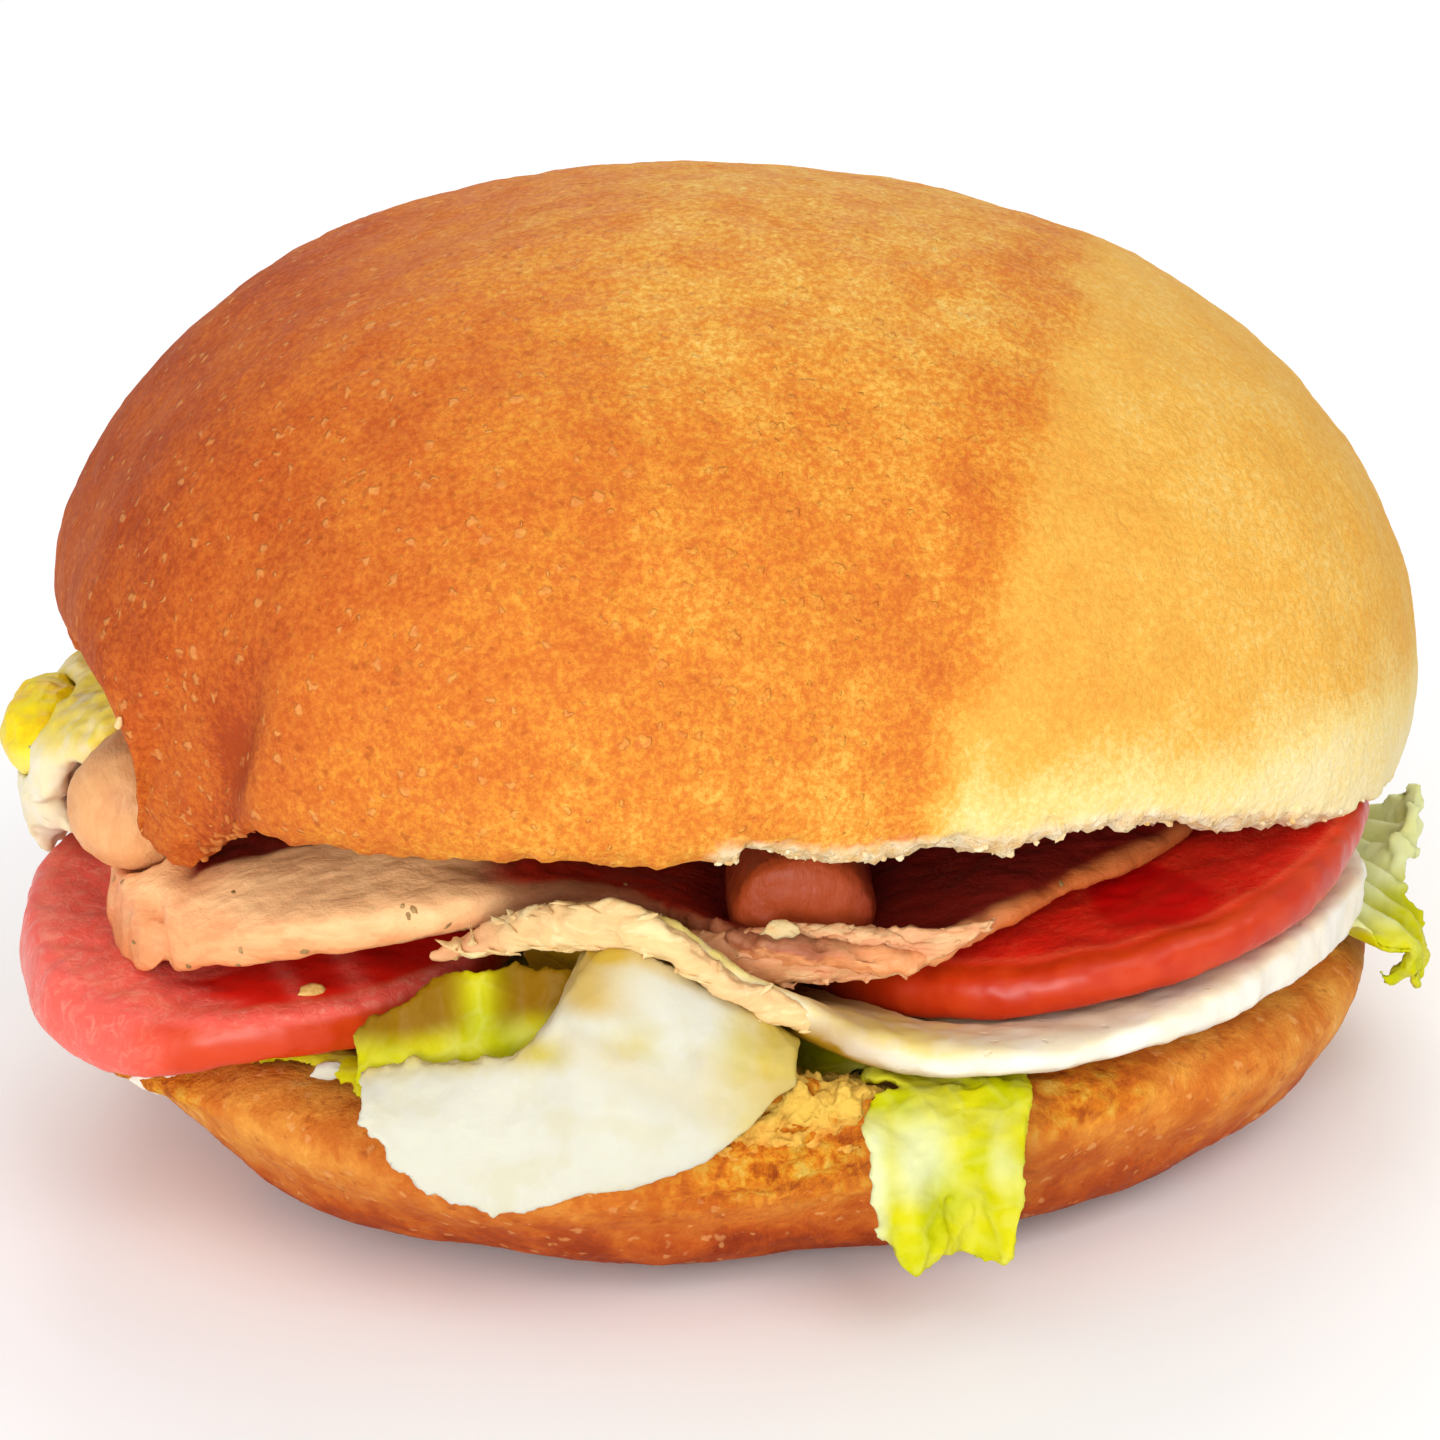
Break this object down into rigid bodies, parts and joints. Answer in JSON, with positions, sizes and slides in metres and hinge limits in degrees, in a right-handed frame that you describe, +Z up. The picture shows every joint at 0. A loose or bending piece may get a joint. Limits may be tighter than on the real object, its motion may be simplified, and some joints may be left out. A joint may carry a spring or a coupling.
{
  "type": "breakfast roll",
  "caption": "Soft round roll, split and filled with lettuce, fried egg, tomato slices, back bacon and sausages, with the crown resting on the filling.",
  "frame": {"origin": "middle of the whole roll's bounding box in X and Y, on the surface that the heel stands on", "axes": "+Z up, +X to the right of the front view, -Y towards the viewer, where the filling shows most"},
  "size_m": [0.1238, 0.1132, 0.0804],
  "materials": {
    "crust": "golden baked crust, reddish brown at the left, pale yellow at the right, dry with fine pores",
    "heel_crust": "orange-brown baked crust, darker at the foot, torn pale crumb at the front",
    "bacon": "cooked back bacon, tan pink with paler fat and dark herb specks, slightly moist",
    "sausage": "browned sausage skin, slightly moist",
    "tomato": "wet cut tomato with an orange-red skin edge",
    "egg_white": "cooked egg white, cream, soft sheen",
    "yolk": "cooked yolk, bright yellow, soft sheen",
    "lettuce_rib": "white lettuce rib, waxy, with yellow-green edges",
    "lettuce_leaf": "crisp yellow-green lettuce, waxy"
  },
  "bodies": {
    "root": {"crown": "crust", "heel": "heel_crust", "rasher_front": "bacon", "rasher_back": "bacon", "sausage_middle": "sausage", "sausage_left": "sausage", "tomato_left": "tomato", "tomato_right": "tomato", "tomato_back": "tomato", "egg_white": "egg_white", "egg_left_white": "egg_white", "egg_left_yolk": "yolk", "lettuce_flap": "lettuce_rib", "lettuce_fold": "lettuce_leaf", "lettuce_tongue": "lettuce_leaf", "lettuce_frill": "lettuce_leaf", "lettuce_bed": "lettuce_leaf"}
  },
  "joints": []
}
